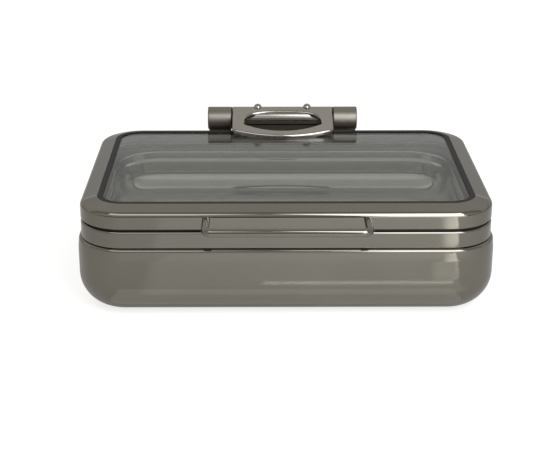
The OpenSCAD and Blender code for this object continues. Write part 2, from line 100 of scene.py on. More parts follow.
class DishSizes(bpy.types.PropertyGroup):
    """Sizes of the dish that a user would change."""
    body_corner: length("Body corner", "Corner radius of the water pan, seen from above", 66 * MM)
    body_fillet: length("Body fillet", "Radius between the water pan's wall and its floor", 48 * MM)
    body_land: length("Body land", "Width of the flat rim on top of the water pan", 16 * MM)
    gauge: length("Sheet gauge", "Thickness of the pressed sheet", 1.5 * MM)
    draw_in: length("Wall draw-in", "How far the water pan's wall draws in at its top", 1.6 * MM)
    draw_height: length("Draw-in height", "Height over which the wall draws in", 16 * MM)
    draw_round: length("Draw-in round", "Radius of the soft bend where the wall starts to draw in", 60 * MM)
    joint_rise: length("Joint rise", "How far the joint under the band stands above the solids' joint", 1.0 * MM)
    shoulder_round: length("Shoulder round", "Radius of the water pan's upper edge", 4 * MM)
    base_corner: length("Base corner", "Corner radius of the base plate", 41 * MM)
    band_round: length("Band round", "Radius of the upper band's top edge", 3 * MM)
    band_foot: length("Band foot round", "Radius of the upper band's lower edge", 1.7 * MM)
    band_land: length("Band land", "Width of the band's foot and of its top land", 9 * MM)
    open_gap: length("Opening gap", "Gap between the food pan's wall and the opening", 5.5 * MM)
    lip_height: length("Opening lip", "Depth of the lip round the opening", 10 * MM)
    seal_width: length("Seal width", "Width of the seal under the lid", 5 * MM)
    open_corner: length("Opening corner", "Corner radius of the opening", 68 * MM)
    food_corner: length("Food pan corner", "Outer corner radius of the food pan's flange", 75 * MM)
    food_flange: length("Food pan flange", "Width of the food pan's flange", 12.5 * MM)
    food_gauge: length("Food pan gauge", "Thickness of the food pan's sheet", 1.2 * MM)
    food_collar: length("Food pan collar", "Height of the straight collar above the stacking step", 11 * MM)
    food_step: length("Stacking step", "Width of the stacking step", 3 * MM)
    food_taper: length("Food pan taper", "How far the wall draws in below the step", 4 * MM)
    food_fillet: length("Food pan fillet", "Radius between the food pan's wall and floor", 30 * MM)
    skirt_height: length("Lid skirt", "Height of the lid's skirt to the crease of its shoulder", 22.5 * MM)
    shoulder_width: length("Lid shoulder", "Width of the sloping shoulder round the glass", 23.4 * MM)
    edge_round: length("Lid edge round", "Radius between the lid's skirt and shoulder", 7.8 * MM)
    gasket_width: length("Gasket width", "Width of the gasket that shows round the glass", 7.5 * MM)
    gasket_bite: length("Gasket bite", "Depth to which the gasket grips the glass", 5 * MM)
    gasket_lip: length("Gasket lip", "Thickness of the gasket over the glass", 1.3 * MM)
    rod: length("Handle rod", "Diameter of the handle rod", ROD_HIGH.z - ROD_LOW.z)
    rod_bend: length("Handle bend", "Bend radius at the middle of the rod", 10 * MM)
    nose_bow: length("Plate bow", "How far the front of the hinge plate bows forward", 15 * MM)
    nose_height: length("Plate nose", "Height of the hinge plate's front bar", 6.3 * MM)
    plate_thickness: length("Plate thickness", "Thickness of the hinge plate", 8.2 * MM)
    window_bar: length("Window bar", "Width of the bar in front of the window", 12.5 * MM)
    window_side: length("Window side", "Width of the plate beside the window", 18.5 * MM)
    window_rise: length("Window rise", "Depth of the curve along the window's front", 17 * MM)
    window_reach: length("Window reach", "Depth of the curve along the window's back", 31.5 * MM)
    plate_round: length("Plate round", "Radius of the hinge plate's edges", 2.7 * MM)
    cap_round: length("Cap round", "Radius of the barrel ends' edges", 2 * MM)
    dome: length("Dome", "Diameter of the domed screws", 12.5 * MM)


class DishColours(bpy.types.PropertyGroup):
    """Colours of the dish that a user would change."""
    steel: colour("Polished steel", "Pressed shells, lid frame and handle", "#827F76")
    pan: colour("Satin steel", "Food pan, base skin and the strips under the glass", "#BDBAB3")
    hinge: colour("Hinge steel", "Cast plate and domed screws", "#A29E96")
    barrel: colour("Barrel steel", "Fixed barrel ends", "#8C877F")
    fittings: colour("Fittings", "Bracket, screws and pin", "#8E8B86")
    rubber: colour("Rubber", "Gasket and seal", "#22211F")
    nylon: colour("Nylon", "Dampers and washers", "#1E1E1D")
    alloy: colour("Aluminium", "Heat-spreading core of the base", "#A5A5A3")
    # pale tone that is painted light: it brightens the lid's inner skirt seen through the glass
    inside: colour("Lid inside", "Unpolished inner face of the lid frame, painted pale as light", "#CFCCC6")
    # dark tone that is painted shade: the web seen through the hinge window
    cast: colour("Web shade", "Web of the hinge casting, painted dark as shade in the window", "#4E4A44")
    glass: colour("Glass", "Toughened lid glass", "#E9EDEA")


def add_node(tree, kind, values=None, links=None, **settings):
    """Adds a node, sets its inputs and attributes and links its inputs to other nodes' outputs."""
    node = tree.nodes.new(kind)
    for key, value in settings.items():
        setattr(node, key, value)
    for key, value in (values or {}).items():
        node.inputs[key].default_value = value
    for key, output in (links or {}).items():
        tree.links.new(output, node.inputs[key])
    return node


def new_material(name):
    """An empty node material with its object coordinates and its shader, wired to the output."""
    material = bpy.data.materials.new(name)
    material.use_nodes = True
    tree = material.node_tree
    tree.nodes.clear()
    place = add_node(tree, "ShaderNodeTexCoord").outputs["Object"]
    shader = add_node(tree, "ShaderNodeBsdfPrincipled")
    add_node(tree, "ShaderNodeOutputMaterial", links={"Surface": shader.outputs["BSDF"]})
    return material, tree, place, shader


def per_metre(size_mm):
    """Noise scale at which one blotch is about this many millimetres wide."""
    return 1000.0 / size_mm


def metal(name, tone, rough, lines, wave):
    """A metal in one tone with faint stains, polishing lines in its gloss and a slight unevenness."""
    material, tree, place, shader = new_material(name)
    # stains and handling marks about 70 mm across shift the tone by a few percent
    stain = add_node(tree, "ShaderNodeTexNoise", {"Scale": per_metre(70), "Detail": 3.0}, {"Vector": place})
    tint = add_node(tree, "ShaderNodeMix", {"A": [c * 0.94 for c in tone[:3]] + [1.0],
                                            "B": [min(1.0, c * 1.06) for c in tone[:3]] + [1.0]},
                    data_type="RGBA")
    tree.links.new(stain.outputs["Fac"], tint.inputs["Factor"])
    # polishing lines are under 0.1 mm apart on the real sheet and are drawn 0.8 mm wide, so that they show
    stretch = add_node(tree, "ShaderNodeMapping", {"Scale": lines}, {"Vector": place})
    line = add_node(tree, "ShaderNodeTexNoise", {"Scale": per_metre(0.8), "Detail": 2.0},
                    {"Vector": stretch.outputs["Vector"]})
    gloss = add_node(tree, "ShaderNodeMapRange", {"To Min": rough * 0.75, "To Max": rough * 1.25},
                     {"Value": line.outputs["Fac"]})
    # the pressed sheet is uneven over about 45 mm
    uneven = add_node(tree, "ShaderNodeTexNoise", {"Scale": per_metre(45), "Detail": 1.0}, {"Vector": place})
    bump = add_node(tree, "ShaderNodeBump", {"Strength": 1.0, "Distance": wave}, {"Height": uneven.outputs["Fac"]})
    shader.inputs["Metallic"].default_value = 1.0
    tree.links.new(tint.outputs[2], shader.inputs["Base Color"])
    tree.links.new(gloss.outputs["Result"], shader.inputs["Roughness"])
    tree.links.new(bump.outputs["Normal"], shader.inputs["Normal"])
    return material


def rubber(name, tone, rough, grain_mm, depth):
    """A dark moulded plastic or rubber with a fine grain."""
    material, tree, place, shader = new_material(name)
    grain = add_node(tree, "ShaderNodeTexNoise", {"Scale": per_metre(grain_mm), "Detail": 3.0}, {"Vector": place})
    tint = add_node(tree, "ShaderNodeMix", {"A": [c * 0.8 for c in tone[:3]] + [1.0],
                                            "B": [c * 1.25 for c in tone[:3]] + [1.0]}, data_type="RGBA")
    gloss = add_node(tree, "ShaderNodeMapRange", {"To Min": rough * 0.85, "To Max": rough * 1.15},
                     {"Value": grain.outputs["Fac"]})
    bump = add_node(tree, "ShaderNodeBump", {"Strength": 0.4, "Distance": depth}, {"Height": grain.outputs["Fac"]})
    tree.links.new(grain.outputs["Fac"], tint.inputs["Factor"])
    tree.links.new(tint.outputs[2], shader.inputs["Base Color"])
    tree.links.new(gloss.outputs["Result"], shader.inputs["Roughness"])
    tree.links.new(bump.outputs["Normal"], shader.inputs["Normal"])
    shader.inputs["IOR"].default_value = 1.4
    shader.inputs["Specular IOR Level"].default_value = 0.25
    return material


def finish(name):
    """Gives the named finish, and makes its material the first time."""
    if name in bpy.data.materials:
        return bpy.data.materials[name]
    tones = bpy.context.scene.dish_colours
    if name == "mirror_polished_stainless_steel":
        # deep-drawn sheet, buffed to a mirror: reflections are clear but slightly soft and wavy
        return metal(name, tones.steel, 0.06, (1, 1, 0.02), 0.06 * MM)
    if name == "satin_stainless_steel":
        # pressed food pan sheet with a fine satin grain: soft reflections, drawn along the grain
        return metal(name, tones.pan, 0.10, (0.02, 1, 1), 0.08 * MM)
    if name == "unpolished_painted_light_steel":
        # inner face of the pressed lid, as it leaves the press: dull, no clear reflections; its pale tone is
        # painted light, to brighten the inner skirt seen through the glass
        return metal(name, tones.inside, 0.62, (1, 1, 0.05), 0.03 * MM)
    if name == "polished_cast_steel":
        # investment casting, hand polished: soft reflections with a slight orange peel
        return metal(name, tones.hinge, 0.12, (1, 0.05, 1), 0.04 * MM)
    if name == "web_painted_shade_steel":
        # web of the casting under the knuckle: dull, and dark as painted shade, since the window shows only shade
        # there
        return metal(name, tones.cast, 0.50, (1, 1, 1), 0.06 * MM)
    if name == "turned_stainless_steel":
        # lathe-turned tube, lightly polished: rings round the barrel soften the reflections
        return metal(name, tones.barrel, 0.45, (0.05, 1, 1), 0.03 * MM)
    if name == "bright_zinc_plated_steel":
        # turned and plated fasteners and bent plate: duller, even grey
        return metal(name, tones.fittings, 0.30, (1, 1, 1), 0.02 * MM)
    if name == "rolled_aluminium":
        # plain rolled plate: pale and matt
        return metal(name, tones.alloy, 0.38, (0.02, 1, 1), 0.02 * MM)
    if name == "moulded_black_silicone":
        # extruded rubber: near black, dull sheen
        return rubber(name, tones.rubber, 0.48, 1.5, 0.02 * MM)
    if name == "moulded_black_nylon":
        # injection moulded: black, faintly grained
        return rubber(name, tones.nylon, 0.42, 0.8, 0.03 * MM)
    if name == "toughened_float_glass":
        # clear float glass with a faint grey-green body and a few wipe marks in its gloss
        material, tree, place, shader = new_material(name)
        wipe = add_node(tree, "ShaderNodeTexNoise", {"Scale": per_metre(90), "Detail": 4.0}, {"Vector": place})
        gloss = add_node(tree, "ShaderNodeMapRange", {"To Min": 0.0, "To Max": 0.03},
                         {"Value": wipe.outputs["Fac"]})
        tree.links.new(gloss.outputs["Result"], shader.inputs["Roughness"])
        shader.inputs["Base Color"].default_value = tones.glass
        shader.inputs["Transmission Weight"].default_value = 1.0
        shader.inputs["IOR"].default_value = 1.3
        return material
    raise RuntimeError("no finish is named " + name)


def draw_line(bm, points, close=False):
    """Draws a line through points in the XZ plane; a third number rounds that corner to a radius."""
    def place(p):
        return Vector((p[0], 0.0, p[1]))
    verts = [bm.verts.new(place(points[0]))]
    edges = []
    for point in points[1:]:
        made = bmesh.ops.extrude_vert_indiv(bm, verts=[verts[-1]])
        made["verts"][0].co = place(point)
        verts.append(made["verts"][0])
        edges += made["edges"]
    if close:
        edges.append(bm.edges.new((verts[-1], verts[0])))
    before = set(bm.verts) - set(verts)
    last = len(points) - 1
    corners = []
    for i, point in enumerate(points):
        if len(point) > 2 and point[2] > 0 and (close or 0 < i < last):
            a = place(points[i - 1]) - place(point)
            b = place(points[(i + 1) % len(points)]) - place(point)
            corners.append((verts[i], point[2] / tan(a.angle(b) / 2), point[2], pi - a.angle(b)))
    for corner, reach, radius, turn in corners:
        count = max(2, min(20, ceil(turn * (3 + radius / MM / 4))))
        bmesh.ops.bevel(bm, geom=[corner], offset=reach, offset_type="OFFSET", segments=count, profile=0.5,
                        affect="VERTICES", material=-1)
    verts = [v for v in bm.verts if v not in before]
    edges = list({e for v in verts for e in v.link_edges})
    return verts, edges


def only(geom, kind):
    """The vertices, edges or faces among what an operator made."""
    return [item for item in geom if isinstance(item, kind)]


def carry_round(bm, line, width, depth, corner, steps=28):
    """Carries a line, drawn outward from a corner's centre, once round a rounded rectangle."""
    verts, edges = line
    x, y = width / 2 - corner, depth / 2 - corner
    others = set(bm.verts) - set(verts)
    bmesh.ops.translate(bm, verts=verts, vec=(x, y, 0))
    for centre, run in (((x, y, 0), (-2 * x, 0, 0)), ((-x, y, 0), (0, -2 * y, 0)),
                        ((-x, -y, 0), (2 * x, 0, 0)), ((x, -y, 0), (0, 2 * y, 0))):
        made = bmesh.ops.spin(bm, geom=verts + edges, cent=centre, axis=(0, 0, 1), angle=radians(90),
                              steps=steps, use_duplicate=False)
        made = bmesh.ops.extrude_edge_only(bm, edges=only(made["geom_last"], bmesh.types.BMEdge))
        verts = only(made["geom"], bmesh.types.BMVert)
        ends = set(verts)
        edges = [e for e in only(made["geom"], bmesh.types.BMEdge) if ends.issuperset(e.verts)]
        bmesh.ops.translate(bm, verts=verts, vec=run)
    bmesh.ops.remove_doubles(bm, verts=[v for v in bm.verts if v not in others], dist=MERGE)


def turn_round(bm, line, axis, steps=48):
    """Turns a line once round an axis through the origin."""
    verts, edges = line
    others = set(bm.verts) - set(verts)
    bmesh.ops.spin(bm, geom=verts + edges, cent=(0, 0, 0), axis=axis, angle=2 * pi, steps=steps,
                   use_merge=True, use_duplicate=False)
    made = [v for v in bm.verts if v not in others]
    bmesh.ops.remove_doubles(bm, verts=made, dist=MERGE)
    return [v for v in bm.verts if v not in others]


def fill_open(bm):
    """Fills open loops."""
    bmesh.ops.holes_fill(bm, edges=[e for e in bm.edges if e.is_boundary], sides=0)


def place_piece(name, bm, material, body, slot, *nodes, sharp=34, even=True):
    """Turns a finished mesh into a piece that rides on a body and stands for CAD nodes."""
    bmesh.ops.remove_doubles(bm, verts=bm.verts, dist=MERGE / 2)
    bmesh.ops.recalc_face_normals(bm, faces=bm.faces)
    mesh = bpy.data.meshes.new(name)
    bm.to_mesh(mesh)
    bm.free()
    mesh.shade_smooth()
    mesh.set_sharp_from_angle(angle=radians(sharp))
    mesh.materials.append(finish(material))
    piece = bpy.data.objects.new(name, mesh)
    bpy.context.scene.collection.objects.link(piece)
    if even:
        normals = piece.modifiers.new("even_normals", "WEIGHTED_NORMAL")
        normals.keep_sharp = True
    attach(piece, body)
    if nodes:
        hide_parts(*nodes)
    return piece


def dress(node, material):
    """Gives a CAD node, whose shape is right, its finish."""
    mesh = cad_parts[node].data
    mesh.materials.clear()
    mesh.materials.append(finish(material))


def add_screw(bm, where, head, height, key, shank, reach):
    """Adds a socket-head screw whose head stands on the XY plane of a matrix and whose shank goes down."""
    before = set(bm.verts)
    rim, socket = key * 0.72, height * 0.6
    line = draw_line(bm, [(0, -reach), (shank / 2, -reach, 0.4 * MM), (shank / 2, 0), (head / 2, 0, 0.15 * MM),
                          (head / 2, height, 0.6 * MM), (rim, height)])
    turn_round(bm, line, (0, 0, 1), 32)
    mouth = [e for e in bm.edges if e.is_boundary and e.verts[0] not in before]
    ring = bmesh.ops.create_circle(bm, segments=6, radius=key / 2 / cos(pi / 6),
                                   matrix=Matrix.Translation((0, 0, height)))
    hexagon = list({e for v in ring["verts"] for e in v.link_edges})
    bmesh.ops.bridge_loops(bm, edges=mouth + hexagon)
    made = bmesh.ops.extrude_edge_only(bm, edges=hexagon)
    floor = only(made["geom"], bmesh.types.BMVert)
    bmesh.ops.translate(bm, verts=floor, vec=(0, 0, -socket))
    bmesh.ops.holes_fill(bm, edges=[e for e in bm.edges if e.is_boundary and e.verts[0] not in before], sides=0)
    bmesh.ops.transform(bm, matrix=where, verts=[v for v in bm.verts if v not in before])


class DISH_OT_water_pan(bpy.types.Operator):
    """Deep-drawn water pan and the skin of its base"""
    bl_idname = "chafing_dish.water_pan"
    bl_label = "Water pan"

    def execute(self, context):
        s = context.scene.dish_sizes
        size = BODY_HIGH - BODY_LOW
        r, g, low, top = s.body_corner, s.gauge, BODY_LOW.z, BODY_HIGH.z + s.joint_rise
        bm = bmesh.new()
        start, land = r - s.body_fillet - LAP, r - s.body_land
        neck, bend = r - s.draw_in, top - s.draw_height
        line = draw_line(bm, [
            (start, low), (r, low, s.body_fillet), (r, bend, s.draw_round), (neck, top, s.shoulder_round),
            (land, top, 0.3 * MM), (land, top - g, 0.3 * MM), (neck - g, top - g, s.shoulder_round - g),
            (r - g, bend, s.draw_round), (r - g, low + g, s.body_fillet - g), (start, low + g)])
        carry_round(bm, line, size.x, size.y, r)
        fill_open(bm)
        place_piece("water_pan_shell", bm, "mirror_polished_stainless_steel", "dish", "polished_steel", "water_pan")

        size = COVER_HIGH - COVER_LOW
        r, low, top = s.base_corner, COVER_LOW.z, COVER_HIGH.z
        bm = bmesh.new()
        line = draw_line(bm, [(r - PLATE_LAP, low), (r, low, 0.6 * MM), (r, top), (r - PLATE_LAP, top)])
        carry_round(bm, line, size.x, size.y, r)
        fill_open(bm)
        place_piece("base_skin", bm, "satin_stainless_steel", "dish", "satin_steel", "base_cover")
        dress("base_core", "rolled_aluminium")
        return {"FINISHED"}


class DISH_OT_upper_band(bpy.types.Operator):
    """Upper band with the ledge round the opening, and the seal that the lid closes on"""
    bl_idname = "chafing_dish.upper_band"
    bl_label = "Upper band"

    def execute(self, context):
        s = context.scene.dish_sizes
        size = BAND_HIGH - BAND_LOW
        inset = BODY_HIGH.x - BAND_HIGH.x
        r, g, low, top = s.body_corner - inset, s.gauge, BAND_LOW.z + s.joint_rise, BAND_HIGH.z
        land = r - s.band_land
        bm = bmesh.new()
        line = draw_line(bm, [
            (land, top - g), (r - g, top - g, s.band_round - g), (r - g, low + g), (land, low + g),
            (land, low), (r, low, s.band_foot), (r, top, s.band_round), (land, top)])
        carry_round(bm, line, size.x, size.y, r)
        shrink = s.food_flange - s.open_gap
        wide, deep = FOOD_HIGH.x - FOOD_LOW.x - 2 * shrink, FOOD_HIGH.y - FOOD_LOW.y - 2 * shrink
        lip, hem = s.open_corner, top - s.lip_height
        line = draw_line(bm, [
            (lip + LAP, top), (lip, top, 2.4 * MM), (lip, hem, 0.5 * MM), (lip + g, hem, 0.5 * MM),
            (lip + g, top - g, 0.9 * MM), (lip + LAP, top - g)])
        carry_round(bm, line, wide, deep, lip)
        for level in (top, top - g):
            loops = [e for e in bm.edges if e.is_boundary and abs(e.verts[0].co.z - level) < SAME_LEVEL]
            bmesh.ops.triangle_fill(bm, edges=loops, use_beauty=True, normal=(0, 0, 1))
        place_piece("upper_band", bm, "mirror_polished_stainless_steel", "dish", "polished_steel", "rim_frame")

        bm = bmesh.new()
        out = r - (BAND_HIGH.x - SEAL_HIGH.x)
        inner = out - s.seal_width
        line = draw_line(bm, [(inner, SEAL_LOW.z, 0.4 * MM), (out, SEAL_LOW.z, 0.4 * MM),
                              (out, SEAL_HIGH.z, 1.5 * MM), (inner, SEAL_HIGH.z, 1.5 * MM)], close=True)
        carry_round(bm, line, size.x, size.y, r)
        place_piece("seal_bead", bm, "moulded_black_silicone", "dish", "black_silicone", "lid_seal")
        return {"FINISHED"}


class DISH_OT_food_pan(bpy.types.Operator):
    """Lift-out food pan with a stacking step under its flange"""
    bl_idname = "chafing_dish.food_pan"
    bl_label = "Food pan"

    def execute(self, context):
        s = context.scene.dish_sizes
        size = FOOD_HIGH - FOOD_LOW
        r, g, low, top = s.food_corner, s.food_gauge, FOOD_LOW.z, FOOD_HIGH.z
        wall = r - s.food_flange
        seat = top - g - s.food_collar
        foot = wall - s.food_step - s.food_taper
        start = foot - s.food_fillet - 2 * MM
        bm = bmesh.new()
        line = draw_line(bm, [
            (start, low), (foot, low, s.food_fillet), (wall - s.food_step, seat - s.food_step, 2 * MM),
            (wall, seat, 2 * MM), (wall, top - g, 0.8 * MM), (r, top - g, 0.4 * MM), (r, top, 0.6 * MM),
            (wall - g, top, 2.0 * MM), (wall - g, seat + g / 2, 1.6 * MM),
            (wall - s.food_step - g, seat - s.food_step + g / 2, 2.4 * MM),
            (foot - g, low + g, s.food_fillet - g), (start, low + g)])
        carry_round(bm, line, size.x, size.y, r)
        fill_open(bm)
        place_piece("food_pan_shell", bm, "satin_stainless_steel", "food_pan", "pan_steel", "food_pan")
        return {"FINISHED"}


class DISH_OT_lid(bpy.types.Operator):
    """Pressed lid frame, glass, gasket and the strips that hold them"""
    bl_idname = "chafing_dish.lid"
    bl_label = "Glass lid"

    def execute(self, context):
        s = context.scene.dish_sizes
        size = LID_HIGH - LID_LOW
        r, g, low, top = s.body_corner - (BODY_HIGH.x - LID_HIGH.x), s.gauge, LID_LOW.z, LID_HIGH.z
        corner, frame_size = r, size
        tip = r - s.shoulder_width
        crease = low + s.skirt_height
        slope = atan2(top - crease, s.shoulder_width)
        hem = r - s.band_land
        drop = g * (1 - sin(slope)) / cos(slope)
        bm = bmesh.new()
        line = draw_line(bm, [
            (hem, low), (r, low, 0.8 * MM), (r, crease, s.edge_round), (tip, top, 0.5 * MM),
            (tip - g * sin(slope), top - g * cos(slope)), (r - g, crease - drop, s.edge_round - g),
            (r - g, low + g), (hem, low + g)], close=True)
        carry_round(bm, line, size.x, size.y, r)
        bmesh.ops.recalc_face_normals(bm, faces=bm.faces)
        # faces above the hem that look in, or down from the shoulder, are left unpolished, with a pale tone that is
        # painted light
        for face in bm.faces:
            spot = face.calc_center_median()
            outward = Vector((spot.x / size.x, spot.y / size.y, 0.5))
            face.material_index = int(face.normal.dot(outward) < 0 and spot.z > low + 0.5 * MM)
        # pillars under the shoulder that the strips are screwed to
        out = GASKET_HIGH.x - LID_HIGH.x + r
        pad = out + 5.2 * MM
        seat, under = (point.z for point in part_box("retainer_front"))
        roof, pillar = crease + (r - pad) * tan(slope) - g * 0.8, 4 * MM
        for x, y in self.strip_screws(size, r, pad):
            line = draw_line(bm, [(0, under), (pillar, under, 0.3 * MM), (pillar, roof), (0, roof)])
            bmesh.ops.translate(bm, verts=turn_round(bm, line, (0, 0, 1), 24), vec=(x, y, 0))
        shell = place_piece("lid_shell", bm, "mirror_polished_stainless_steel", "lid", "polished_steel",
                            "lid_frame")
        # second material: the inner faces, dull and painted pale as light
        shell.data.materials.append(finish("unpolished_painted_light_steel"))

        bm = bmesh.new()
        inner = tip - s.gasket_width - 0.5 * MM
        play = 0.1 * MM
        neck = tip - g * sin(slope) - play
        bite = inner + s.gasket_bite
        under = crease - g / cos(slope) - play
        low, top = GASKET_LOW.z, GASKET_HIGH.z
        line = draw_line(bm, [
            (inner, top, 0.8 * MM), (neck, top, 0.6 * MM), (neck, under + (r - neck) * tan(slope)),
            (out, under + (r - out) * tan(slope), 0.3 * MM), (out, low, 0.3 * MM), (inner, low, 0.3 * MM),
            (inner, low + s.gasket_lip, 0.2 * MM), (bite, low + s.gasket_lip), (bite, top - s.gasket_lip),
            (inner, top - s.gasket_lip, 0.2 * MM)], close=True)
        carry_round(bm, line, size.x, size.y, r)
        place_piece("gasket_bead", bm, "moulded_black_silicone", "lid", "black_silicone", "glass_gasket")

        bm = bmesh.new()
        size = GLASS_HIGH - GLASS_LOW
        r = bite - play
        line = draw_line(bm, [(r - PLATE_LAP, GLASS_LOW.z), (r, GLASS_LOW.z, 0.8 * MM), (r, GLASS_HIGH.z, 0.8 * MM),
                              (r - PLATE_LAP, GLASS_HIGH.z)])
        carry_round(bm, line, size.x, size.y, r)
        fill_open(bm)
        place_piece("lid_glass", bm, "toughened_float_glass", "lid", "clear_glass", "glass_panel")

        for side in ("front", "back", "left", "right"):
            dress("retainer_" + side, "satin_stainless_steel")
        bm = bmesh.new()
        for x, y in self.strip_screws(frame_size, corner, pad):
            add_screw(bm, Matrix.Translation((x, y, seat)) @ Matrix.Rotation(pi, 4, "X"), *STRIP_SCREW)
        place_piece("strip_screws", bm, "bright_zinc_plated_steel", "lid", "satin_steel", "retainer_screws",
                    even=False)
        return {"FINISHED"}

    @staticmethod
    def strip_screws(size, r, pad):
        """Places of the screws that hold the strips under the glass."""
        wide, deep = size.x / 2 - r, size.y / 2 - r
        far, ends, pitch = wide - 20 * MM, deep - 57 * MM, 90 * MM
        across = [(x, sy * (deep + pad)) for sy in (-1, 1) for x in (-far, pitch - far, far - pitch, far)]
        return across + [(sx * (wide + pad), y) for sx in (-1, 1) for y in (-ends, ends)]


class DISH_OT_handle(bpy.types.Operator):
    """Bow handle of round rod with the screws behind the skirt"""
    bl_idname = "chafing_dish.handle"
    bl_label = "Bow handle"

    def execute(self, context):
        s = context.scene.dish_sizes
        radius, bend = s.rod / 2, s.rod_bend
        post = ROD_HIGH.x - radius
        wall, bar = ROD_HIGH.y, ROD_LOW.y + radius
        z = (ROD_LOW.z + ROD_HIGH.z) / 2
        bm = bmesh.new()
        ring = bmesh.ops.create_circle(bm, segments=40, radius=radius,
                                       matrix=Matrix.Translation((-post, wall, z))
                                       @ Matrix.Rotation(pi / 2, 4, "X"))
        edges = list({e for v in ring["verts"] for e in v.link_edges})

        def run(edges, vec):
            """Carries the rod's end straight on."""
            made = bmesh.ops.extrude_edge_only(bm, edges=edges)
            verts = only(made["geom"], bmesh.types.BMVert)
            bmesh.ops.translate(bm, verts=verts, vec=vec)
            ends = set(verts)
            return [e for e in only(made["geom"], bmesh.types.BMEdge) if ends.issuperset(e.verts)]

        def bend_rod(edges, x):
            """Carries the rod's end round a quarter turn."""
            verts = list({v for e in edges for v in e.verts})
            made = bmesh.ops.spin(bm, geom=verts + edges, cent=(x, bar + bend, z), axis=(0, 0, 1),
                                  angle=radians(90), steps=14, use_duplicate=False)
            return only(made["geom_last"], bmesh.types.BMEdge)

        edges = run(edges, (0, bar + bend - wall, 0))
        edges = bend_rod(edges, bend - post)
        edges = run(edges, (2 * (post - bend), 0, 0))
        edges = bend_rod(edges, post - bend)
        run(edges, (0, wall - bar - bend, 0))
        fill_open(bm)
        place_piece("bow_handle", bm, "mirror_polished_stainless_steel", "lid", "polished_steel", "lid_handle")

        bm = bmesh.new()
        for x in (-post, post):
            where = Matrix.Translation((x, wall + s.gauge, z)) @ Matrix.Rotation(-pi / 2, 4, "X")
            add_screw(bm, where, *HANDLE_SCREW)
        place_piece("handle_bolts", bm, "bright_zinc_plated_steel", "lid", "satin_steel", "handle_screws",
                    even=False)
        return {"FINISHED"}


